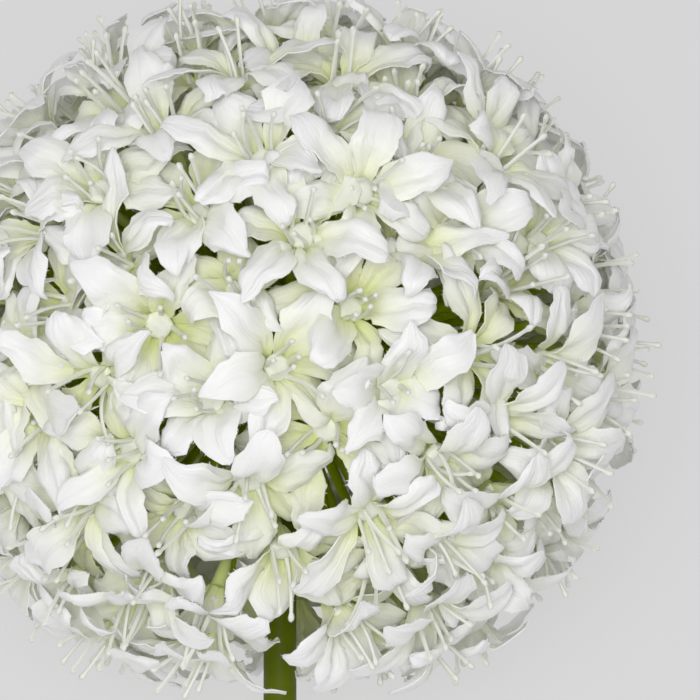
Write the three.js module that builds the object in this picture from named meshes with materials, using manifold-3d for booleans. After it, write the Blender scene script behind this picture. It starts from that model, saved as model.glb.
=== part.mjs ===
// A giant allium flower head on its cut stem, lying on a surface as it is put down.
// Millimetres, +Z up. The surface is Z = 0, the stem runs towards -Y and the head lies towards +Y.
// The flower is made standing, with its stem along -Z and the middle of the head at the origin,
// and is then tipped over until the stem's cut end and the lowest florets both touch the surface.
import * as THREE from "three";
import { mergeVertices } from "three/addons/utils/BufferGeometryUtils.js";
import Module from "manifold-3d";

const wasm = await Module();
wasm.setup();

// Head: florets on thin stalks that spread from one core
const FLORETS = 120;
const THROAT_RADIUS = 76; // from the middle of the head to where a floret's petals part
const CORE_RADIUS = 12;
const BARE_ANGLE = THREE.MathUtils.degToRad(34); // round the stem, where no floret grows
const THROAT_RISE_SPREAD = 2; // how far in or out a throat may lie
const DRIFT_SPREAD = 2; // how far to the side a throat may lie
const LEAN_SPREAD = 0.05; // how far a floret may lean off the straight line from the core

// Floret: six petals round a throat, measured from the throat across and up the floret's axis
const PETALS = 6;
const PETAL_TURN = (2 * Math.PI) / PETALS;
const NOTCH = { across: 3, up: 3.4 }; // where two petals part
const PETAL_MIDDLE = { across: 10.2, up: 8.6 };
const PETAL_TIP = { across: 18.4, up: 12 };
const PETAL_HALF_WIDTH = 4.5;
const PETAL_THICKNESS = 0.9; // at the midrib, thinning to the edges
const INNER_PETAL = { size: 0.94, rise: 1.5 }; // every other petal stands closer in and higher

// How much one floret or petal may differ from the next
const SPREAD = {
  open: 0.12,
  size: 0.08,
  turn: 0.1,
  middleUp: 0.6,
  tipUp: 2,
  tipAside: 0.12,
  twist: 0.8,
};

// Stalk and stamen, three-sided
const SIDES = 3;
const STALK_RADIUS = 1.1;
const STALK_TOP = -3;
const STALK_ROOT = CORE_RADIUS / 2 - THROAT_RADIUS; // sunk halfway into the core
const STAMEN_RADIUS = 0.55;
const STAMEN_FOOT = 1;
const STAMEN_TIP = { across: 1, up: 20 };

// Stem
const STEM_RADIUS = 4.2;
const STEM_LENGTH = 200; // from the middle of the head to the cut
const STEM_SIDES = 20;
const CUT_BEVEL = 0.4;
const SOCKET_DEPTH = 7; // how far the stem's top is let into the core
const CLEARANCE = 0.3;

// How the flower lies
const HEAD_HEIGHT = 87; // the middle of the head above the surface
const REACH = THROAT_RADIUS + STAMEN_TIP.up; // the stamens' tips, which stand out furthest
const PRESS = 3; // how softly what would pass through the surface is pressed flat on it
const STEM_DIP = dipOfStem();

const PETAL_COLOUR = 0xf0f2ea;
const STEM_COLOUR = 0x5b6c0c;

// The angle that brings the lower edge of the stem's cut down to the surface
function dipOfStem() {
  const along = STEM_LENGTH - CUT_BEVEL;
  return Math.asin(HEAD_HEIGHT / Math.hypot(along, STEM_RADIUS)) - Math.atan2(STEM_RADIUS, along);
}

// A repeatable stream of numbers, each up to the given size to either side of zero
function seededSpread(seed) {
  let state = seed;
  return (size) => {
    state = (Math.imul(state, 1664525) + 1013904223) >>> 0;
    return (state / 2 ** 31 - 1) * size;
  };
}

const placeSpread = seededSpread(15);
const shapeSpread = seededSpread(22);
const UP = new THREE.Vector3(0, 0, 1);
const tipOver = new THREE.Quaternion().setFromAxisAngle(
  new THREE.Vector3(1, 0, 0),
  STEM_DIP - Math.PI / 2,
);
const upFromSurface = UP.clone().applyQuaternion(tipOver.clone().invert());

// Moves a point of the standing flower so that, once tipped over, it lies above the surface
function press(point) {
  const height = point.dot(upFromSurface) + HEAD_HEIGHT;
  const lifted = PRESS * Math.log1p(Math.exp(height / PRESS));
  return point.addScaledVector(upFromSurface, lifted - height);
}

const sidestep = (size) => new THREE.Vector3(placeSpread(size), placeSpread(size), placeSpread(size));

// Where each floret's throat sits, on a golden-angle spiral from the top down to the bare part
function floretPlaces() {
  const goldenAngle = Math.PI * (3 - Math.sqrt(5));
  const lowest = -Math.cos(BARE_ANGLE);
  return Array.from({ length: FLORETS }, (_, i) => {
    const rise = 1 - ((i + 0.5) / FLORETS) * (1 - lowest);
    const out = Math.sqrt(1 - rise * rise);
    const round = i * goldenAngle;
    const outward = new THREE.Vector3(out * Math.cos(round), out * Math.sin(round), rise)
      .add(sidestep(DRIFT_SPREAD / THROAT_RADIUS))
      .normalize();
    const axis = outward.clone().add(sidestep(LEAN_SPREAD)).normalize();
    const throat = outward.multiplyScalar(THROAT_RADIUS + placeSpread(THROAT_RISE_SPREAD));
    return new THREE.Matrix4().compose(
      throat,
      new THREE.Quaternion().setFromUnitVectors(UP, axis),
      new THREE.Vector3(1, 1, 1),
    );
  });
}

// The sizes of one floret's petals, each a little different
function floretShape() {
  const open = 1 + shapeSpread(SPREAD.open);
  return Array.from({ length: PETALS }, (_, k) => {
    const inner = k % 2 === 1;
    const across = (1 + shapeSpread(SPREAD.size)) * open * (inner ? INNER_PETAL.size : 1);
    const rise = inner ? INNER_PETAL.rise : 0;
    return {
      turn: k * PETAL_TURN + shapeSpread(SPREAD.turn),
      middle: {
        across: PETAL_MIDDLE.across * across,
        up: PETAL_MIDDLE.up / open + rise + shapeSpread(SPREAD.middleUp),
      },
      tip: {
        across: PETAL_TIP.across * across,
        up: PETAL_TIP.up / open + rise + shapeSpread(SPREAD.tipUp),
        aside: shapeSpread(SPREAD.tipAside),
      },
      twist: shapeSpread(SPREAD.twist),
    };
  });
}

// One floret with its stamen and stalk as a closed mesh, its throat at the origin and its axis up
function floretGeometry(petals, spin) {
  const points = [];
  const faces = [];
  const point = (across, turn, up) =>
    points.push(across * Math.cos(turn + spin), across * Math.sin(turn + spin), up) / 3 - 1;
  const face = (...corners) => faces.push(...corners);
  const ring = (radius, up) =>
    Array.from({ length: SIDES }, (_, j) => point(radius, (2 * j - 0.5) * PETAL_TURN, up));

  const notches = petals.map((_, k) => point(NOTCH.across, (k + 0.5) * PETAL_TURN, NOTCH.up));
  const stamen = ring(STAMEN_RADIUS, STAMEN_FOOT);
  const stamenTip = point(STAMEN_TIP.across, 0, STAMEN_TIP.up);
  const stalk = ring(STALK_RADIUS, STALK_TOP);
  const root = ring(STALK_RADIUS, STALK_ROOT);

  petals.forEach(({ turn, middle, tip, twist }, k) => {
    const halfAngle = Math.atan2(PETAL_HALF_WIDTH, middle.across);
    const edge = Math.hypot(PETAL_HALF_WIDTH, middle.across);
    const right = point(edge, turn - halfAngle, middle.up + twist);
    const left = point(edge, turn + halfAngle, middle.up - twist);
    const rib = point(middle.across, turn, middle.up + PETAL_THICKNESS);
    const end = point(tip.across, turn + tip.aside, tip.up);
    const before = notches[(k + PETALS - 1) % PETALS];
    const after = notches[k];
    const side = Math.floor(k / 2);
    // Upper face, folded along the midrib
    face(before, right, rib);
    face(before, rib, after);
    face(after, rib, left);
    face(right, end, rib);
    face(rib, end, left);
    // Lower face, down to the stalk
    face(stalk[side], right, before);
    face(stalk[side], left, right);
    face(stalk[side], after, left);
    face(right, left, end);
    // Throat, down to the stamen's foot
    face(before, after, stamen[side]);
  });

  for (let side = 0; side < SIDES; side++) {
    const next = (side + 1) % SIDES;
    const between = notches[2 * side + 1];
    face(stamen[side], between, stamen[next]);
    face(stamen[side], stamen[next], stamenTip);
    face(stalk[next], between, stalk[side]);
    face(stalk[side], root[side], root[next]);
    face(stalk[side], root[next], stalk[next]);
  }
  face(root[0], root[2], root[1]);

  return new THREE.BufferGeometry()
    .setAttribute("position", new THREE.Float32BufferAttribute(points, 3))
    .setIndex(faces);
}

function solidOf(geometry) {
  const bare = new THREE.BufferGeometry()
    .setAttribute("position", geometry.getAttribute("position"))
    .setIndex(geometry.index);
  const merged = mergeVertices(bare, 1e-4);
  return new wasm.Manifold(
    new wasm.Mesh({
      numProp: 3,
      vertProperties: merged.getAttribute("position").array,
      triVerts: new Uint32Array(merged.index.array),
    }),
  );
}

function geometryOf(solid) {
  const mesh = solid.getMesh();
  return new THREE.BufferGeometry()
    .setAttribute("position", new THREE.Float32BufferAttribute(mesh.vertProperties, 3))
    .setIndex(new THREE.Uint32BufferAttribute(mesh.triVerts, 1))
    .toNonIndexed();
}

// A floret in its place on the head, with what would lie under the surface pressed up to it
function placedFloret(petals, spin, place) {
  const geometry = floretGeometry(petals, spin).applyMatrix4(place);
  const position = geometry.getAttribute("position");
  const point = new THREE.Vector3();
  for (let i = 0; i < position.count; i++) {
    press(point.fromBufferAttribute(position, i));
    position.setXYZ(i, point.x, point.y, point.z);
  }
  return solidOf(geometry);
}

// The floret turned so that its petals cross those already in place as little as they can
function fittedFloret(place, others) {
  const turnsTried = 24;
  const throat = new THREE.Vector3().setFromMatrixPosition(place);
  const near = others.filter((other) => other.throat.distanceTo(throat) < 2 * PETAL_TIP.across);
  const petals = floretShape();
  let best = null;
  for (let i = 0; i < turnsTried && best?.crossing !== 0; i++) {
    const solid = placedFloret(petals, (i / turnsTried) * PETAL_TURN, place);
    const crossing = near.reduce((sum, other) => sum + solid.intersect(other.solid).numTri(), 0);
    if (!best || crossing < best.crossing) best = { solid, throat, crossing };
  }
  return best;
}

// The hole in the underside of the core that the stem's top sits in
function socketGeometry() {
  const radius = STEM_RADIUS + CLEARANCE;
  return new THREE.CylinderGeometry(radius, radius, 2 * SOCKET_DEPTH, STEM_SIDES)
    .rotateX(Math.PI / 2)
    .translate(0, 0, -CORE_RADIUS);
}

// Core, stalks, petals and stamens in one, without the hollows that crossing petals seal
function headSolid() {
  const florets = [];
  for (const place of floretPlaces()) florets.push(fittedFloret(place, florets));
  const core = solidOf(new THREE.IcosahedronGeometry(CORE_RADIUS, 1));
  return wasm.Manifold.union([core, ...florets.map(({ solid }) => solid)])
    .subtract(solidOf(socketGeometry()))
    .decompose()
    .reduce((largest, piece) => (piece.volume() > largest.volume() ? piece : largest));
}

function stemGeometry() {
  const top = SOCKET_DEPTH - CLEARANCE - CORE_RADIUS;
  const profile = [
    [0, -STEM_LENGTH],
    [STEM_RADIUS - CUT_BEVEL, -STEM_LENGTH],
    [STEM_RADIUS, -STEM_LENGTH + CUT_BEVEL],
    [STEM_RADIUS, top],
    [0, top],
  ].map(([radius, height]) => new THREE.Vector2(radius, height));
  return new THREE.LatheGeometry(profile, STEM_SIDES).rotateX(Math.PI / 2);
}

function named(name, geometry, colour, roughness) {
  const material = new THREE.MeshStandardMaterial({ color: colour, roughness, metalness: 0 });
  const mesh = new THREE.Mesh(geometry, material);
  mesh.name = name;
  return mesh;
}

const flower = new THREE.Group();
flower.add(named("flower_head", geometryOf(headSolid()), PETAL_COLOUR, 0.75));
flower.add(named("stem", stemGeometry(), STEM_COLOUR, 0.5));
flower.quaternion.copy(tipOver);
const stemReach = STEM_LENGTH * Math.cos(STEM_DIP) + STEM_RADIUS * Math.sin(STEM_DIP);
flower.position.set(0, (stemReach - REACH) / 2, HEAD_HEIGHT);

const allium = new THREE.Group();
allium.add(flower);
export default allium;
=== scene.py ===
"""A giant allium flower head of white fabric florets, lying on its side on a pale floor.

Metres, +Z up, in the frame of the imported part. The flower is shaped standing, with the middle of
its head at the origin and its stem along -Z, and is then laid down.
"""

import math
import random

import bmesh
import bpy
import numpy as np
from mathutils import Matrix, Vector, noise
from mathutils.bvhtree import BVHTree
from mathutils.kdtree import KDTree


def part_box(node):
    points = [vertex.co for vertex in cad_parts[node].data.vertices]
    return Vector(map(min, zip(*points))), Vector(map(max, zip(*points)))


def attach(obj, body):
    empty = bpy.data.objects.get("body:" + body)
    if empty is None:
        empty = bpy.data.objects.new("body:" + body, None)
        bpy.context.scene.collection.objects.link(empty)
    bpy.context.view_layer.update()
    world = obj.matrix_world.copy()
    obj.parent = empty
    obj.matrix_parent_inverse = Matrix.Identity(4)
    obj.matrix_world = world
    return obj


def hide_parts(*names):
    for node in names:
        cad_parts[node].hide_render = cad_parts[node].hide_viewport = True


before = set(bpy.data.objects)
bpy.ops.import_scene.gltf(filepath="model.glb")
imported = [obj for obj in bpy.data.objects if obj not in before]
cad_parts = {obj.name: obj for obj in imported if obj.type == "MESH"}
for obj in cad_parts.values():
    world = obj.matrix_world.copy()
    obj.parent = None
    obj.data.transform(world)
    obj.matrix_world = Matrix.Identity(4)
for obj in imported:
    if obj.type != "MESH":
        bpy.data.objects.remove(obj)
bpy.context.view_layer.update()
MM = 0.001

# The lying flower. The ball of florets and the cut end of the stem both touch the floor, so the
# flower's axis dips towards the cut. What would pass through the floor is pressed flat on it, as
# the springy florets are under the weight of the head.
HEAD_HEIGHT = 87 * MM
STEM_RADIUS = 4.2 * MM
STEM_LENGTH = 200 * MM
CUT_BEVEL = 0.4 * MM
PRESS = 3 * MM
PRESSED_BELOW = 60 * MM

cut_edge = STEM_LENGTH - CUT_BEVEL
stem_dip = math.asin(HEAD_HEIGHT / math.hypot(cut_edge, STEM_RADIUS))
stem_dip -= math.atan2(STEM_RADIUS, cut_edge)
stem_reach = STEM_LENGTH * math.cos(stem_dip) + STEM_RADIUS * math.sin(stem_dip)
head_middle = Vector((0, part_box("stem")[0].y + stem_reach, HEAD_HEIGHT))
tip_over = Matrix.Rotation(stem_dip - math.pi / 2, 3, "X")


def laid(point):
    """Where a point of the standing flower comes to lie."""
    place = tip_over @ Vector(point) + head_middle
    if place.z < PRESSED_BELOW:
        place.z = PRESS * math.log1p(math.exp(place.z / PRESS))
    return place


# The camera looks down on the flower, square to its stem, from where the whole ball shows at once.
# The head fills the frame and runs out of it on the left.
VIEW_DISTANCE = 1100 * MM
FRAME_WIDTH = 178 * MM
HEAD_OFF_CENTRE = 17.8 * MM

camera = bpy.data.objects.new("camera", bpy.data.cameras.new("camera"))
bpy.context.scene.collection.objects.link(camera)
camera.data.sensor_width = 36
camera.data.lens = camera.data.sensor_width * VIEW_DISTANCE / FRAME_WIDTH
camera.rotation_euler = (stem_dip, 0, 0)
toward_camera = Vector((0, -math.sin(stem_dip), math.cos(stem_dip)))
camera.location = head_middle + Vector((HEAD_OFF_CENTRE, 0, 0)) + toward_camera * VIEW_DISTANCE
bpy.context.scene.camera = camera


# A pale grey light table that glows faintly, in a white room that is brightest on the camera's side.
# One soft lamp stands by the camera, a little up and to the left: it reaches in among the florets, and
# the head hides its own shadow.
FLOOR_SIZE = 4000 * MM
FLOOR_COLOUR = (0.17, 0.17, 0.172, 1)
FLOOR_GLOW = 0.62
ROOM_COLOUR = (1, 1, 1, 1)
ROOM_SIDES = 0.2
ROOM_ABOVE = 0.82
KEY_DISTANCE = 1200 * MM
KEY_PLACE = Vector((-80 * MM, 50 * MM, 0)) + toward_camera * KEY_DISTANCE
KEY_SIZE = 500 * MM
KEY_WATTS = 9.2


def surface(name):
    """A new material, with its node tree and its shader."""
    material = bpy.data.materials.new(name)
    material.use_nodes = True
    tree = material.node_tree
    return material, tree, tree.nodes["Principled BSDF"]


floor_shape = bmesh.new()
bmesh.ops.create_grid(floor_shape, x_segments=1, y_segments=1, size=FLOOR_SIZE / 2)
floor = bpy.data.objects.new("floor", bpy.data.meshes.new("floor"))
floor_shape.to_mesh(floor.data)
floor_shape.free()
bpy.context.scene.collection.objects.link(floor)
floor_finish, _, floor_shader = surface("pale_light_table")
floor_shader.inputs["Base Color"].default_value = FLOOR_COLOUR
floor_shader.inputs["Roughness"].default_value = 0.9
floor_shader.inputs["Emission Color"].default_value = (1, 1, 1, 1)
floor_shader.inputs["Emission Strength"].default_value = FLOOR_GLOW
floor.data.materials.append(floor_finish)

key = bpy.data.objects.new("key_lamp", bpy.data.lights.new("key_lamp", "AREA"))
bpy.context.scene.collection.objects.link(key)
key.data.size = KEY_SIZE
key.data.energy = KEY_WATTS
key.location = head_middle + KEY_PLACE
key.rotation_euler = (-KEY_PLACE).to_track_quat("-Z", "Y").to_euler()

room = bpy.data.worlds.new("room")
room.use_nodes = True
room_tree = room.node_tree
walls = room_tree.nodes["Background"]
walls.inputs["Color"].default_value = ROOM_COLOUR
direction = room_tree.nodes.new("ShaderNodeTexCoord")
above = room_tree.nodes.new("ShaderNodeVectorMath")
above.operation = "DOT_PRODUCT"
above.inputs[1].default_value = toward_camera
room_tree.links.new(direction.outputs["Generated"], above.inputs[0])
brightness = room_tree.nodes.new("ShaderNodeMapRange")
brightness.inputs["To Min"].default_value = ROOM_SIDES
brightness.inputs["To Max"].default_value = ROOM_ABOVE
room_tree.links.new(above.outputs["Value"], brightness.inputs["Value"])
room_tree.links.new(brightness.outputs["Result"], walls.inputs["Strength"])
bpy.context.scene.world = room

# Three bounces off the cloth light the gaps between the petals and keep the render short.
bpy.context.scene.cycles.max_bounces = 6
bpy.context.scene.cycles.diffuse_bounces = 3
bpy.context.scene.view_settings.view_transform = "Standard"
bpy.context.scene.view_settings.look = "Low Contrast"
bpy.context.scene.view_settings.exposure = 0.23


# The stem is a smooth olive-green plastic rod, cut square, with its edge just broken by the blade.
# Its top is pushed into the underside of the core that carries the stalks.
STEM_SIDES = 48
STEM_TOP = -5.3 * MM
CUT_HOLLOW = 0.1 * MM
STEM_GREEN = (0.072, 0.102, 0.0002, 1)
STEM_DARK_GREEN = (0.036, 0.054, 0.0001, 1)
SHARP_ANGLE = math.radians(55)
DRIFT_CONTRAST = 2.5
MARK_DEPTH = 0.1 * MM


def piece(name, shape, finish, stands_for):
    """Makes a bmesh of the laid flower an object of the part."""
    mesh = bpy.data.meshes.new(name)
    bmesh.ops.recalc_face_normals(shape, faces=shape.faces[:])
    shape.to_mesh(mesh)
    shape.free()
    mesh.materials.append(finish)
    mesh.shade_smooth()
    mesh.set_sharp_from_angle(angle=SHARP_ANGLE)
    made = bpy.data.objects.new(name, mesh)
    bpy.context.scene.collection.objects.link(made)
    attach(made, "root")
    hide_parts(stands_for)


def new_group(name, inputs, outputs):
    """An empty shader node group with its named sockets, and its nodes for going in and out."""
    group = bpy.data.node_groups.new(name, "ShaderNodeTree")
    for label, kind in inputs:
        group.interface.new_socket(label, in_out="INPUT", socket_type="NodeSocket" + kind)
    for label, kind in outputs:
        group.interface.new_socket(label, in_out="OUTPUT", socket_type="NodeSocket" + kind)
    return group, group.nodes.new("NodeGroupInput"), group.nodes.new("NodeGroupOutput")


def placed(tree, group, **values):
    """A group's node in a material, with that material's own values."""
    node = tree.nodes.new("ShaderNodeGroup")
    node.node_tree = group
    for label, value in values.items():
        node.inputs[label].default_value = value
    return node


def math_node(tree, operation, first, second=0.0, third=0.0):
    """The result of a sum, each term a socket or a plain number."""
    node = tree.nodes.new("ShaderNodeMath")
    node.operation = operation
    for socket, value in zip(node.inputs, (first, second, third)):
        if isinstance(value, (int, float)):
            socket.default_value = value
        else:
            tree.links.new(value, socket)
    return node.outputs[0]


def mixed(tree, share, first, second):
    """A colour between two colours, each a socket or a plain colour."""
    node = tree.nodes.new("ShaderNodeMix")
    node.data_type = "RGBA"
    tree.links.new(share, node.inputs["Factor"])
    for socket, value in ((node.inputs["A"], first), (node.inputs["B"], second)):
        if isinstance(value, tuple):
            socket.default_value = value
        else:
            tree.links.new(value, socket)
    return node.outputs["Result"]


def bumped(tree, shader, height, strength, distance):
    """Gives a shader the relief that a height makes."""
    bump = tree.nodes.new("ShaderNodeBump")
    bump.inputs["Strength"].default_value = strength
    bump.inputs["Distance"].default_value = distance
    tree.links.new(height, bump.inputs["Height"])
    tree.links.new(bump.outputs["Normal"], shader.inputs["Normal"])


# Moulded plastic: its colour drifts a little over each piece, and fine flow marks roughen it.
drift_group, into, out_of = new_group("colour_drift", [("Scale", "Float")], [("Share", "Float")])
where = drift_group.nodes.new("ShaderNodeTexCoord")
clouds = drift_group.nodes.new("ShaderNodeTexNoise")
clouds.inputs["Detail"].default_value = 3
drift_group.links.new(where.outputs["Object"], clouds.inputs["Vector"])
drift_group.links.new(into.outputs["Scale"], clouds.inputs["Scale"])
drift_share = math_node(
    drift_group, "MULTIPLY_ADD", clouds.outputs["Fac"], DRIFT_CONTRAST, 0.5 - DRIFT_CONTRAST / 2
)
drift_group.links.new(drift_share, out_of.inputs["Share"])

marks_group, into, out_of = new_group("moulding_marks", [("Scale", "Float")], [("Height", "Float")])
where = marks_group.nodes.new("ShaderNodeTexCoord")
marks = marks_group.nodes.new("ShaderNodeTexNoise")
marks.inputs["Detail"].default_value = 4
marks_group.links.new(where.outputs["Object"], marks.inputs["Vector"])
marks_group.links.new(into.outputs["Scale"], marks.inputs["Scale"])
marks_group.links.new(marks.outputs["Fac"], out_of.inputs["Height"])

green_plastic, stem_tree, stem_shader = surface("olive_green_plastic")
stem_drift = placed(stem_tree, drift_group, Scale=60)
stem_colour = mixed(stem_tree, stem_drift.outputs["Share"], STEM_DARK_GREEN, STEM_GREEN)
stem_tree.links.new(stem_colour, stem_shader.inputs["Base Color"])
stem_marks = placed(stem_tree, marks_group, Scale=900)
bumped(stem_tree, stem_shader, stem_marks.outputs["Height"], strength=0.25, distance=MARK_DEPTH)
stem_shader.inputs["Roughness"].default_value = 0.42
stem_shader.inputs["Specular IOR Level"].default_value = 0.04

stem_shape = bmesh.new()
bmesh.ops.create_cone(
    stem_shape,
    cap_ends=True,
    segments=STEM_SIDES,
    radius1=STEM_RADIUS,
    radius2=STEM_RADIUS,
    depth=STEM_LENGTH + STEM_TOP,
    matrix=Matrix.Translation((0, 0, (STEM_TOP - STEM_LENGTH) / 2)),
)
cut_rim = [e for e in stem_shape.edges if all(v.co.z < -STEM_LENGTH + MM for v in e.verts)]
bmesh.ops.bevel(
    stem_shape,
    geom=cut_rim,
    offset=CUT_BEVEL,
    offset_type="OFFSET",
    affect="EDGES",
    segments=3,
    profile=0.5,
    material=-1,
)
cut_face = min(stem_shape.faces, key=lambda f: f.calc_center_median().z)
bmesh.ops.inset_region(stem_shape, faces=[cut_face], thickness=STEM_RADIUS / 3, depth=-CUT_HOLLOW)
for vertex in stem_shape.verts:
    vertex.co = laid(vertex.co)
piece("stem_rod", stem_shape, green_plastic, "stem")


# Stalks of lighter green plastic spread from a ball at the top of the stem, one to each floret. Each
# bows a little, and swells into a short pale socket that grips the foot of its floret. The lowest ones
# on the camera's side part round the stem.
FLORETS = 184
THROAT_RADIUS = 76 * MM
CORE_RADIUS = 12 * MM
BARE_ANGLE = math.radians(23)
PARTING = 14 * MM
PARTED_BELOW = -0.72
PARTED_LEAN = 0.3
SPIRAL_START = 2.0
THROAT_RISE_SPREAD = 3.5 * MM
DRIFT_SPREAD = 3 * MM
FLORET_LEAN = math.radians(10)
STEMWARD_LEAN = 0.5
STALK_RADIUS = 1.25 * MM
STALK_SIDES = 8
STALK_RINGS = 9
STALK_BOW = 2.2 * MM
STALK_ROOT = 0.7
SOCKET_LENGTH = 7 * MM
SOCKET_SHAPE = ((0.12, 1.5 * MM), (0.5, 1.7 * MM), (1.0, 2.2 * MM))
WELD = 0.005 * MM
STALK_GREEN = (0.35, 0.49, 0.0005, 1)
STALK_DARK_GREEN = (0.16, 0.24, 0.0003, 1)
SOCKET_GREEN = (0.5, 0.6, 0.16, 1)
UP = Vector((0, 0, 1))
draw = random.Random(4)


def drift(size):
    """A random sidestep, up to the given size each way."""
    return Vector((draw.uniform(-1, 1), draw.uniform(-1, 1), draw.uniform(-1, 1))) * size


def floret_places():
    """Each floret's throat and turn: a golden-angle spiral from the top down to the bare part."""
    golden_angle = math.pi * (3 - math.sqrt(5))
    lowest = -math.cos(BARE_ANGLE)
    places = []
    for i in range(FLORETS):
        rise = 1 - (i + 0.5) / FLORETS * (1 - lowest)
        out = math.sqrt(1 - rise * rise)
        around = SPIRAL_START + i * golden_angle
        outward = Vector((out * math.cos(around), out * math.sin(around), rise))
        outward = (outward + drift(DRIFT_SPREAD / THROAT_RADIUS)).normalized()
        parted = outward.y < 0 and outward.z < PARTED_BELOW
        if parted:
            aside = max(abs(outward.x), PARTING / THROAT_RADIUS)
            outward.x = math.copysign(aside, outward.x)
            outward.normalize()
        throat = outward * (THROAT_RADIUS + draw.uniform(-1, 1) * THROAT_RISE_SPREAD)
        lean = Vector((draw.gauss(0, 1), draw.gauss(0, 1), draw.gauss(0, 1))) * FLORET_LEAN
        lean.z -= STEMWARD_LEAN * max(0, -rise) ** 2
        if parted:
            lean.x += math.copysign(PARTED_LEAN, outward.x)
        turn = UP.rotation_difference(outward + lean).to_matrix().to_4x4()
        places.append(Matrix.Translation(throat) @ turn)
    return places


def tube(shape, path, radii, sides):
    """A rod along a path: a grid rolled up until its long edges meet."""
    rings = len(path) - 1
    made = bmesh.ops.create_grid(shape, x_segments=sides, y_segments=rings, size=1)["verts"]
    along = (path[-1] - path[0]).to_track_quat("Z", "Y").to_matrix()
    for vertex in made:
        side = (vertex.co.x + 1) * math.pi
        ring = round((vertex.co.y + 1) / 2 * rings)
        across = along @ Vector((math.cos(side), math.sin(side), 0))
        vertex.co = path[ring] + across * radii[ring]
    bmesh.ops.remove_doubles(shape, verts=made, dist=WELD)
    bmesh.ops.holes_fill(shape, edges=[edge for edge in shape.edges if edge.is_boundary])


def gather(whole, part):
    """Adds a small bmesh to a big one, laid as the flower lies. Operators are slow on big ones."""
    for vertex in part.verts:
        vertex.co = laid(vertex.co)
    mesh = bpy.data.meshes.new("part")
    part.to_mesh(mesh)
    part.free()
    whole.from_mesh(mesh)
    bpy.data.meshes.remove(mesh)


places = floret_places()
stalk_shape = bmesh.new()
core = bmesh.new()
bmesh.ops.create_icosphere(core, subdivisions=4, radius=CORE_RADIUS)
gather(stalk_shape, core)
for place in places:
    throat = place.translation
    foot = place @ Vector((0, 0, -SOCKET_LENGTH))
    start = throat.normalized() * CORE_RADIUS * STALK_ROOT
    bow = throat.normalized().orthogonal()
    bow.rotate(Matrix.Rotation(draw.uniform(0, 2 * math.pi), 3, throat))
    bow *= STALK_BOW * draw.random()
    path = []
    radii = []
    for ring in range(STALK_RINGS):
        share = ring / (STALK_RINGS - 1)
        path.append(start.lerp(foot, share) + bow * math.sin(math.pi * share))
        radii.append(STALK_RADIUS)
    for share, radius in SOCKET_SHAPE:
        path.append(foot.lerp(throat, share))
        radii.append(radius)
    stalk = bmesh.new()
    tube(stalk, path, radii, STALK_SIDES)
    gather(stalk_shape, stalk)

# How far out of the head's middle a spot lies: a mask from one distance to another.
outward_group, into, out_of = new_group(
    "far_out_in_head", [("Start", "Float"), ("End", "Float")], [("Mask", "Float")]
)
where = outward_group.nodes.new("ShaderNodeTexCoord")
away = outward_group.nodes.new("ShaderNodeVectorMath")
away.operation = "DISTANCE"
away.inputs[1].default_value = head_middle
outward_group.links.new(where.outputs["Object"], away.inputs[0])
ranged = outward_group.nodes.new("ShaderNodeMapRange")
ranged.interpolation_type = "SMOOTHSTEP"
outward_group.links.new(away.outputs["Value"], ranged.inputs["Value"])
outward_group.links.new(into.outputs["Start"], ranged.inputs["From Min"])
outward_group.links.new(into.outputs["End"], ranged.inputs["From Max"])
outward_group.links.new(ranged.outputs["Result"], out_of.inputs["Mask"])

stalk_plastic, stalk_tree, stalk_shader = surface("stalk_green_plastic")
stalk_drift = placed(stalk_tree, drift_group, Scale=60)
stalk_colour = mixed(stalk_tree, stalk_drift.outputs["Share"], STALK_DARK_GREEN, STALK_GREEN)
paling = placed(stalk_tree, outward_group, Start=THROAT_RADIUS - 10 * MM, End=THROAT_RADIUS - 2 * MM)
stalk_colour = mixed(stalk_tree, paling.outputs["Mask"], stalk_colour, SOCKET_GREEN)
stalk_tree.links.new(stalk_colour, stalk_shader.inputs["Base Color"])
stalk_marks = placed(stalk_tree, marks_group, Scale=900)
bumped(stalk_tree, stalk_shader, stalk_marks.outputs["Height"], strength=0.25, distance=MARK_DEPTH)
stalk_shader.inputs["Roughness"].default_value = 0.45
stalk_shader.inputs["Specular IOR Level"].default_value = 0.04
piece("stalks_and_core", stalk_shape, stalk_plastic, "flower_head")


# Florets of thin white polyester cloth, each cut with six petals, pressed hot into shape and pushed on
# to its stalk. Each petal rises from the throat, arches over and turns its tip down, and lies over or
# under its neighbours. The dye is pale yellow-green at the throat and fades out towards the tip. Cloth
# that lies deep in the head is also painted green as shade, for light that passes through and bounces
# between the petals.
PETALS = 6
SINK = 3.5 * MM
PETAL_COLUMNS = 10
PETAL_ROWS = 14
PETAL_LENGTH = 26 * MM
PETAL_LENGTHS = (0.92, 1.06)
INNER_LENGTH = 0.95
PETAL_HALF_WIDTH = 5.9 * MM
PETAL_WIDTHS = (0.88, 1.08)
THROAT_OPENING = 2.2 * MM
CLOTH_THICKNESS = 0.3 * MM
THROAT_DEPTH = 0.4 * MM
CLOSING = (0.15, 0.6)
CLOSING_LIMITS = (-1, 1.2)
CLOSING_TILT = math.radians(20)
PETAL_SPREAD = 0.09
RISE_DEGREES = (52, 7)
LEVEL_DEGREES = (26, 12)
FALL_DEGREES = (-12, 20)
INNER_STEEPER = (8, 5)
CURL_DEGREES = (15, 50, 85, 120)
EDGE_ROLLS = (-0.3, 0.3, 0.8, 1.3)
WIDEST = 0.55
FOOT_WIDTH = 0.32
TIP_TAPER = 0.92
TIP_SHAPES = (1.4, 2.4)
FRAY = 0.45 * MM
CRUMPLE_SEED = 3
CRUMPLE_STEP_IN_MM = 7.3
CRUMPLES_IN_MM = ((7, 2), (3, 0.7))
TIP_GIVE = 1.5
CROWN_RADIUS = 88 * MM
CROWN_GIVE = 6 * MM
THREADS = 18
THREAD_RADIUS = 0.18 * MM
THREAD_LENGTH = 0.8 * MM
THREAD_LENGTHS = (0.5, 1.6)
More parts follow.
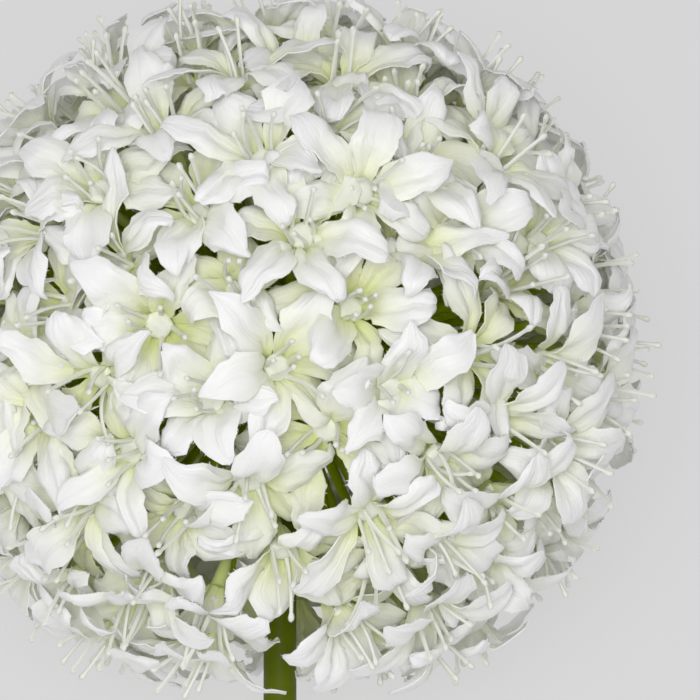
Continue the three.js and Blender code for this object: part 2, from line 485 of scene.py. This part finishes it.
THREAD_SEAT = 0.15 * MM
THREAD_SCATTER = 0.8
THREAD_TONE = 0.9
CLOTH_WHITE = (0.943, 0.938, 0.937, 1)
CLOTH_GREEN = (0.78, 0.87, 0.22, 1)
FOOT_GREEN = (0.56, 0.69, 0.13, 1)
THROAT_DYE = 0.43
# Painted shade: how much greener the cloth deep in the head is made, and the most of dye and shade
# together
DEEP_PAINTED_SHADE = 0.5
MOST_DYE_AND_SHADE = 0.9
BLOTCHES = 0.16
VEIN_COUNTS = (26, 1.6, 40)
FOLD_COUNTS = (7, 2.2, 90)
VEIN_SHADE = 0.04
PETAL_SHADE = 0.04
VEIN_RELIEF = 0.22
WEAVE_RELIEF = 0.015
FOLD_RELIEF = 1.3


def smooth(low, high, values):
    """Shares that ease from 0 to 1 as the values pass from the low limit to the high one."""
    share = np.clip((values - low) / (high - low), 0, 1)
    return share * share * (3 - 2 * share)


def cross_offsets(angles, step):
    """Points across a strip of cloth, from the angle it takes at each edge between two columns."""
    middle = PETAL_COLUMNS // 2
    along = np.cumsum(np.cos(angles) * step, axis=1)
    up = np.cumsum(np.sin(angles) * step, axis=1)
    along = np.hstack([np.zeros((len(along), 1)), along])
    up = np.hstack([np.zeros((len(up), 1)), up])
    return along - along[:, middle : middle + 1], up - up[:, middle : middle + 1]


def petal_points(number, inner, tilt):
    """Rows of points across one petal, from its throat to its tip, pointing along +X."""
    # Along the petal: it rises, levels out, falls and curls in at its tip
    length = PETAL_LENGTH * draw.uniform(*PETAL_LENGTHS) * (INNER_LENGTH if inner else 1)
    width = PETAL_HALF_WIDTH * draw.uniform(*PETAL_WIDTHS)
    more_rise, more_level = INNER_STEEPER if inner else (0, 0)
    rise = math.radians(draw.gauss(*RISE_DEGREES) + more_rise) + tilt
    level = math.radians(draw.gauss(*LEVEL_DEGREES) + more_level) + tilt
    fall = math.radians(draw.gauss(*FALL_DEGREES)) + tilt
    curl = math.radians(draw.choice(CURL_DEGREES) * draw.uniform(0.6, 1.3))
    share = np.linspace(0, 1, PETAL_ROWS + 1)
    slope = rise + (level - rise) * smooth(0.08, 0.5, share) + (fall - level) * smooth(0.4, 0.95, share)
    slope -= curl * smooth(draw.uniform(0.65, 0.85), 1.02, share)
    between = (slope[1:] + slope[:-1]) / 2
    out = THROAT_OPENING + np.append(0, np.cumsum(np.cos(between))) * length / PETAL_ROWS
    up = -THROAT_DEPTH + np.append(0, np.cumsum(np.sin(between))) * length / PETAL_ROWS

    # Across it: a channel at the foot, a crease on each side, and edges that roll up or under
    past_widest = np.maximum(share - WIDEST, 0) / (1 - WIDEST)
    half = width * (FOOT_WIDTH + (1 - FOOT_WIDTH) * smooth(0, WIDEST, share))
    half *= 1 - TIP_TAPER * past_widest ** draw.uniform(*TIP_SHAPES)
    edges = (np.arange(PETAL_COLUMNS) + 0.5) / PETAL_COLUMNS * 2 - 1
    channel = draw.uniform(0.7, 1.2) * (1 - smooth(0.1, draw.uniform(0.6, 0.95), share))
    angles = channel[:, None] * np.sign(edges) * np.abs(edges) ** 0.6
    for side in (-1, 1):
        roll = draw.choice(EDGE_ROLLS) * draw.uniform(0.6, 1.2)
        rolled = smooth(0.2, draw.uniform(0.4, 0.8), share)
        angles -= side * roll * rolled[:, None] * smooth(0.1, 1, side * edges)
    crease = draw.uniform(0.2, 0.6) * smooth(0.0, 0.2, share) * (1 - 0.6 * smooth(0.6, 1, share))
    angles += crease[:, None] * np.sin(edges * 2 * math.pi)
    x, z = cross_offsets(angles, half[:, None] * 2 / PETAL_COLUMNS)

    # Its edges: waved a little, and frayed where they were cut
    wave_height = draw.uniform(0.1, 0.6) * MM
    wave = np.sin(2 * math.pi * draw.uniform(1.2, 2.4) * share + draw.uniform(0, 6.3))
    at_edges = np.linspace(-1, 1, PETAL_COLUMNS + 1) ** 3
    z += wave_height * wave[:, None] * at_edges * smooth(0.1, 0.5, share)[:, None]
    fray = np.array([draw.uniform(-FRAY, FRAY) for _ in range(2 * len(share))])
    x[:, 0] += fray[: len(share)]
    x[:, -1] += fray[len(share) :]

    # All of it: twisted, bent sideways and crumpled
    turn = (draw.gauss(0, 0.4) * share**2)[:, None]
    x, z = x * np.cos(turn) - z * np.sin(turn), x * np.sin(turn) + z * np.cos(turn)
    sideways = draw.gauss(0, 0.1) * length * share**2
    points = np.empty(x.shape + (3,))
    points[..., 0] = out[:, None] - z * np.sin(slope)[:, None]
    points[..., 1] = x + sideways[:, None]
    points[..., 2] = up[:, None] + z * np.cos(slope)[:, None]
    for row, loose in enumerate(smooth(0.1, 0.4, share)):
        for column in range(PETAL_COLUMNS + 1):
            spot = Vector(points[row, column]) / MM + Vector((number * CRUMPLE_STEP_IN_MM, 0, 0))
            crumple = Vector()
            for size, depth in CRUMPLES_IN_MM:
                crumple += noise.noise_vector(spot / size) * depth
            points[row, column] += np.array(crumple) * loose * MM
    return points


def settled(points, flowers):
    """How far each petal's tip is pushed out or in, so that crossing petals lie over each other."""
    apart = 1.8 * MM
    reach = 2.4 * MM
    limit = 5 * MM
    rounds = 60
    near_tips = THROAT_RADIUS * 1.13
    rows = np.array([3, 5, 7, 9, 11, 13, 14])
    columns = np.array([1, 3, 5, 7, 9])
    spots = points[:, rows][:, :, columns].reshape(-1, 3)
    give = np.tile(np.repeat((rows / PETAL_ROWS) ** TIP_GIVE, len(columns)), len(points))
    petal = np.repeat(np.arange(len(points)), len(rows) * len(columns))
    height = np.linalg.norm(spots, axis=1)
    outward = spots / height[:, None] * near_tips
    tree = KDTree(len(outward))
    for index, spot in enumerate(outward):
        tree.insert(spot, index)
    tree.balance()
    pairs = [
        (index, other)
        for index, spot in enumerate(outward)
        for _, other, _ in tree.find_range(spot, reach)
        if other > index and flowers[petal[index]] != flowers[petal[other]]
    ]
    one, two = np.array(pairs).T
    crossing = petal[one] * len(points) + petal[two]
    _, crossing = np.unique(crossing, return_inverse=True)
    lift = np.zeros(len(points))
    for _ in range(rounds):
        now = height + lift[petal] * give
        gap = now[one] - now[two]
        over = np.sign(np.bincount(crossing, gap)[crossing] + 1e-9)
        lack = np.maximum(apart - over * gap, 0) * over
        push = np.bincount(petal[one], lack * give[one], len(points))
        push -= np.bincount(petal[two], lack * give[two], len(points))
        count = np.bincount(petal[one], np.abs(lack) > 0, len(points))
        count += np.bincount(petal[two], np.abs(lack) > 0, len(points))
        lift = np.clip(lift + 0.5 * push / np.maximum(count, 1), -limit, limit)
    return lift


def petal_noise(tree, across, along, tone, counts, detail):
    """Noise with so many waves across a petal and along it, moved from one petal to the next."""
    stretched = tree.nodes.new("ShaderNodeCombineXYZ")
    for part, count, socket in zip((across, along, tone), counts, stretched.inputs):
        tree.links.new(math_node(tree, "MULTIPLY", part, count), socket)
    pattern = tree.nodes.new("ShaderNodeTexNoise")
    pattern.inputs["Scale"].default_value = 1.0
    pattern.inputs["Detail"].default_value = detail
    tree.links.new(stretched.outputs[0], pattern.inputs["Vector"])
    return pattern.outputs["Fac"]


def cloth():
    """Thin polyester cloth: white, green at the throat, with veins pressed in along each petal."""
    material, tree, shader = surface("white_polyester_cloth")
    new, link = tree.nodes.new, tree.links.new

    uv = new("ShaderNodeUVMap")
    uv.uv_map = "petal"
    parts = new("ShaderNodeSeparateXYZ")
    link(uv.outputs["UV"], parts.inputs[0])
    across, along = parts.outputs[0], parts.outputs[1]
    petal_tone = new("ShaderNodeAttribute")
    petal_tone.attribute_name = "tone"
    tone = petal_tone.outputs["Fac"]
    coordinates = new("ShaderNodeTexCoord")

    # Dye: strong at the throat, fading towards the tip. Painted shade: cloth that lies deep in the head
    # is made greener and darker, for light that passes through the cloth and bounces between the petals
    blotch = new("ShaderNodeTexNoise")
    blotch.inputs["Scale"].default_value = 160
    link(coordinates.outputs["Object"], blotch.inputs["Vector"])
    far_out = placed(tree, outward_group, Start=75 * MM, End=89 * MM)
    low = new("ShaderNodeMapRange")
    low.interpolation_type = "SMOOTHSTEP"
    low.inputs["From Min"].default_value = 0.8
    low.inputs["From Max"].default_value = 0.0
    shifted = math_node(tree, "SUBTRACT", along, BLOTCHES / 2)
    blotched = math_node(tree, "MULTIPLY_ADD", blotch.outputs["Fac"], BLOTCHES, shifted)
    link(blotched, low.inputs["Value"])
    # The throat's dye, plus the painted green shade deep in the head, which fades out further from the
    # middle
    dye_and_deep_shade = math_node(tree, "MULTIPLY_ADD", low.outputs["Result"], THROAT_DYE, DEEP_PAINTED_SHADE)
    dye_and_deep_shade = math_node(tree, "MULTIPLY_ADD", far_out.outputs["Mask"], -DEEP_PAINTED_SHADE, dye_and_deep_shade)
    dye_and_deep_shade = math_node(tree, "MINIMUM", dye_and_deep_shade, MOST_DYE_AND_SHADE)

    # Fine veins and broader soft folds, both left by the hot press, run along the petal
    veins = petal_noise(tree, across, along, tone, VEIN_COUNTS, detail=3)
    folds = petal_noise(tree, across, along, tone, FOLD_COUNTS, detail=2)

    # The weave of crossed threads is seen only close up
    weave = new("ShaderNodeTexWave")
    weave.bands_direction = "X"
    weave.inputs["Scale"].default_value = 5.5
    weft = new("ShaderNodeTexWave")
    weft.bands_direction = "Y"
    weft.inputs["Scale"].default_value = 12
    for node in (weave, weft):
        link(uv.outputs["UV"], node.inputs["Vector"])
    threads = math_node(tree, "ADD", weave.outputs["Fac"], weft.outputs["Fac"])

    # The foot of the petal, in the throat, takes up the most dye
    foot = new("ShaderNodeMapRange")
    foot.interpolation_type = "SMOOTHSTEP"
    foot.inputs["From Min"].default_value = 0.24
    foot.inputs["From Max"].default_value = 0.0
    foot.inputs["To Max"].default_value = 0.6
    link(along, foot.inputs["Value"])
    dyed_and_shaded = mixed(tree, dye_and_deep_shade, CLOTH_WHITE, CLOTH_GREEN)

    # Each petal is a little lighter or darker than the next, and its veins lighter than what is between
    shade = new("ShaderNodeHueSaturation")
    link(mixed(tree, foot.outputs["Result"], dyed_and_shaded, FOOT_GREEN), shade.inputs["Color"])
    lightness = math_node(tree, "MULTIPLY_ADD", veins, VEIN_SHADE, 1 - VEIN_SHADE)
    lightness = math_node(tree, "MULTIPLY_ADD", tone, PETAL_SHADE, lightness)
    link(lightness, shade.inputs["Value"])
    link(shade.outputs["Color"], shader.inputs["Base Color"])

    relief = math_node(tree, "MULTIPLY", veins, VEIN_RELIEF)
    relief = math_node(tree, "MULTIPLY_ADD", threads, WEAVE_RELIEF, relief)
    relief = math_node(tree, "MULTIPLY_ADD", folds, FOLD_RELIEF, relief)
    bumped(tree, shader, relief, strength=0.8, distance=0.5 * MM)
    shader.inputs["Roughness"].default_value = 0.42
    shader.inputs["Specular IOR Level"].default_value = 0.22
    shader.inputs["Sheen Weight"].default_value = 0.2
    shader.inputs["Subsurface Weight"].default_value = 0.4
    shader.inputs["Subsurface Radius"].default_value = (1.0, 1.0, 0.9)
    shader.inputs["Subsurface Scale"].default_value = 1.1 * MM
    return material


noise.seed_set(CRUMPLE_SEED)
petal_grids = []
for place in places:
    spin = draw.uniform(0, 2 * math.pi / PETALS)
    closing = float(np.clip(draw.gauss(*CLOSING), *CLOSING_LIMITS))
    for k in range(PETALS):
        spread = Matrix.Rotation(spin + k * 2 * math.pi / PETALS + draw.gauss(0, PETAL_SPREAD), 4, "Z")
        petal_place = np.array(place @ Matrix.Translation((0, 0, -SINK * closing)) @ spread)
        points = petal_points(len(petal_grids), k % 2 == 1, CLOSING_TILT * closing)
        petal_grids.append(points @ petal_place[:3, :3].T + petal_place[:3, 3])

# Crossing petals settle, and tips that would stand out beyond the crown of the ball are drawn in.
grids = np.array(petal_grids)
lifts = settled(grids, np.repeat(np.arange(FLORETS), PETALS))
distance = np.linalg.norm(grids, axis=3, keepdims=True)
give = (np.arange(PETAL_ROWS + 1) / PETAL_ROWS) ** TIP_GIVE
height = distance + lifts[:, None, None, None] * give[None, :, None, None]
beyond = np.maximum(height - CROWN_RADIUS, 0)
height -= beyond - CROWN_GIVE * np.tanh(beyond / CROWN_GIVE)
grids *= height / distance


def loose_threads(petals):
    """Short threads that stand out of the cut edges of one floret's petals, as thin spikes."""
    threads = bmesh.new()
    uv_layer = threads.loops.layers.uv.new("petal")
    tone_layer = threads.verts.layers.float.new("tone")
    for petal in petals:
        for _ in range(THREADS):
            row = draw.randint(4, PETAL_ROWS - 1)
            edge, inside = draw.choice(((0, 1), (PETAL_COLUMNS, PETAL_COLUMNS - 1)))
            below, above = Vector(grids[petal, row, edge]), Vector(grids[petal, row + 1, edge])
            root = below.lerp(above, draw.random())
            outward = (root - Vector(grids[petal, row, inside])).normalized() + drift(THREAD_SCATTER)
            outward.normalize()
            length = THREAD_LENGTH * draw.uniform(*THREAD_LENGTHS)
            turn = outward.to_track_quat("Z", "Y").to_matrix().to_4x4()
            middle = Matrix.Translation(root + outward * (length / 2 - THREAD_SEAT))
            made = bmesh.ops.create_cone(
                threads,
                cap_ends=True,
                segments=3,
                radius1=THREAD_RADIUS,
                radius2=0,
                depth=length,
                matrix=middle @ turn,
            )["verts"]
            for vertex in made:
                vertex[tone_layer] = THREAD_TONE
                for loop in vertex.link_loops:
                    loop[uv_layer].uv = (0.5, row / PETAL_ROWS)
    return threads


white_cloth = cloth()
for number in range(FLORETS):
    petals = range(number * PETALS, (number + 1) * PETALS)
    shape = bmesh.new()
    uv_layer = shape.loops.layers.uv.new("petal")
    tone_layer = shape.verts.layers.float.new("tone")
    for petal in petals:
        tone = draw.random()
        blank = bmesh.ops.create_grid(
            shape, x_segments=PETAL_COLUMNS, y_segments=PETAL_ROWS, size=1, calc_uvs=True
        )["verts"]
        for vertex in blank:
            column = round((vertex.co.x + 1) / 2 * PETAL_COLUMNS)
            row = round((vertex.co.y + 1) / 2 * PETAL_ROWS)
            vertex.co = laid(grids[petal, row, column])
            vertex[tone_layer] = tone
    shape.normal_update()
    back = bmesh.ops.extrude_face_region(shape, geom=shape.faces[:], use_keep_orig=True)["geom"]
    for vertex in back:
        if isinstance(vertex, bmesh.types.BMVert):
            vertex.co -= vertex.normal * CLOTH_THICKNESS
    gather(shape, loose_threads(petals))
    assert all(len(edge.link_faces) == 2 for edge in shape.edges), "open edge"
    piece(f"floret_{number + 1:03d}", shape, white_cloth, "flower_head")


# Stamens of cream plastic, moulded as one piece for each floret: a small fluted cup in the throat,
# round at its foot, with five thin filaments from its rim that each end in a knob.
FILAMENTS = 5
FILAMENT_SIDES = 5
FILAMENT_RINGS = 7
FILAMENT_RADIUS = 0.5 * MM
FILAMENT_TAPER = 0.2
FILAMENT_FOOT = 0.6
FILAMENT_LENGTH = 15.5 * MM
FILAMENT_LENGTHS = (0.75, 1.1)
KNOB_RADIUS = 0.82 * MM
KNOB_SHAPE = ((0.5, 0.8), (1.4, 1.0), (2.3, 0.8), (2.9, 0.0))
KNOB_LENGTH = 2.9 * KNOB_RADIUS
KNOB_MIDDLE = 1.5 * KNOB_RADIUS
KNOB_CLEARANCE = 1.3 * KNOB_RADIUS
SPLAY_DEGREES = (9, 6)
CURVE_DEGREES = (4, 18)
SWAY_DEGREES = (0, 12)
TRIES = 10
CUP_RADIUS = 3.4 * MM
CUP_HEIGHT = 4.2 * MM
CUP_SEAT = 0.3 * MM
FLUTE_DEPTH = 0.05
CREAM = (0.9, 0.92, 0.75, 1)
# Painted shade: a greyer, darker cream for the outer ends of the filaments, where the light falls off
# at the edge of the head; the colour also drifts towards it at random
TIP_SHADE_AND_DRIFT_CREAM = (0.77, 0.79, 0.71, 1)


def petal_faces():
    """The corners of every petal's squares, as numbers of the points in the grids."""
    across = PETAL_COLUMNS + 1
    first = np.arange((PETAL_ROWS + 1) * across).reshape(PETAL_ROWS + 1, across)[:-1, :-1].ravel()
    squares = np.stack([first, first + 1, first + 1 + across, first + across], axis=1)
    each = (PETAL_ROWS + 1) * across
    return (np.arange(len(grids))[:, None, None] * each + squares).reshape(-1, 4)


cloth_tree = BVHTree.FromPolygons(grids.reshape(-1, 3).tolist(), petal_faces().tolist())


def free_path(place, around):
    """A bent path out of the cup, near its rim, that stops short of any petal that it can't miss."""
    side = Vector((math.cos(around), math.sin(around), 0))
    cross = Vector((-side.y, side.x, 0))
    start = side * CUP_RADIUS * 0.8 + UP * CUP_HEIGHT * 0.5
    most = 0
    for _ in range(TRIES):
        length = FILAMENT_LENGTH * draw.uniform(*FILAMENT_LENGTHS)
        splay = math.radians(draw.gauss(*SPLAY_DEGREES))
        curve = math.radians(draw.gauss(*CURVE_DEGREES))
        sway = math.radians(draw.gauss(*SWAY_DEGREES))
        path = [start]
        for ring in range(FILAMENT_RINGS):
            share = (ring + 1) / FILAMENT_RINGS
            lean = splay + curve * share
            step = side * math.sin(lean) + UP * math.cos(lean) + cross * math.sin(sway * share)
            path.append(path[-1] + step.normalized() * length / FILAMENT_RINGS)
        free = 1.0
        for ring in range(2, FILAMENT_RINGS + 1):
            here, ahead = place @ path[ring - 1], place @ path[ring]
            way = ahead - here
            knob = ahead + way.normalized() * KNOB_MIDDLE
            touched = cloth_tree.ray_cast(here, way, way.length + KNOB_LENGTH)[0]
            if touched or cloth_tree.find_nearest(knob, KNOB_CLEARANCE)[0]:
                free = (ring - 1) / FILAMENT_RINGS
                break
        if free > most:
            best, most = path, free
        if free == 1:
            break
    return [start + (spot - start) * most for spot in best]


stamen_shape = bmesh.new()
for place in places:
    stamen = bmesh.new()
    turn = draw.uniform(0, 2 * math.pi)
    cup = bmesh.ops.create_uvsphere(stamen, u_segments=20, v_segments=8, radius=1)["verts"]
    # The upper half is flattened and dished: its rim is four thirds of a radius above the cup's foot
    for vertex in cup:
        out = math.hypot(vertex.co.x, vertex.co.y)
        around = math.atan2(vertex.co.y, vertex.co.x)
        flute = 1 + FLUTE_DEPTH * math.cos(FILAMENTS * (around - turn)) * min(vertex.co.z + 1, 1)
        if vertex.co.z > 0:
            vertex.co.z = 0.4 * vertex.co.z - 0.6 * max(0, 0.5 - out)
        vertex.co.x *= CUP_RADIUS * flute
        vertex.co.y *= CUP_RADIUS * flute
        vertex.co.z = (vertex.co.z + 1) * CUP_HEIGHT * 3 / 4 + CUP_SEAT
    for k in range(FILAMENTS):
        around = turn + (k + draw.uniform(-0.12, 0.12)) * 2 * math.pi / FILAMENTS
        path = free_path(place, around)
        radii = [FILAMENT_RADIUS * 2]
        for ring in range(FILAMENT_RINGS):
            share = (ring + 1) / FILAMENT_RINGS
            thickened = FILAMENT_FOOT * max(0, 1 - 3 * share)
            radii.append(FILAMENT_RADIUS * (1.15 - FILAMENT_TAPER * share + thickened))
        heading = (path[-1] - path[-2]).normalized()
        end = path[-1]
        for beyond, radius in KNOB_SHAPE:
            path.append(end + heading * beyond * KNOB_RADIUS)
            radii.append(KNOB_RADIUS * radius)
        tube(stamen, path, radii, FILAMENT_SIDES)
    bmesh.ops.transform(stamen, matrix=place, verts=stamen.verts[:])
    gather(stamen_shape, stamen)

cream_plastic, cream_tree, cream_shader = surface("cream_plastic")
# Painted shade: the filaments grow greyer towards their knobs, far out in the head, where less light
# reaches them. The colour also drifts a little at random.
tip_shade = placed(cream_tree, outward_group, Start=THROAT_RADIUS + 3 * MM, End=THROAT_RADIUS + 10 * MM)
cream_colour = mixed(cream_tree, tip_shade.outputs["Mask"], CREAM, TIP_SHADE_AND_DRIFT_CREAM)
cream_drift = placed(cream_tree, drift_group, Scale=200)
cream_colour = mixed(cream_tree, cream_drift.outputs["Share"], cream_colour, TIP_SHADE_AND_DRIFT_CREAM)
cream_tree.links.new(cream_colour, cream_shader.inputs["Base Color"])
cream_marks = placed(cream_tree, marks_group, Scale=1500)
bumped(cream_tree, cream_shader, cream_marks.outputs["Height"], strength=0.2, distance=MARK_DEPTH)
cream_shader.inputs["Roughness"].default_value = 0.6
cream_shader.inputs["Specular IOR Level"].default_value = 0.15
piece("stamens", stamen_shape, cream_plastic, "flower_head")
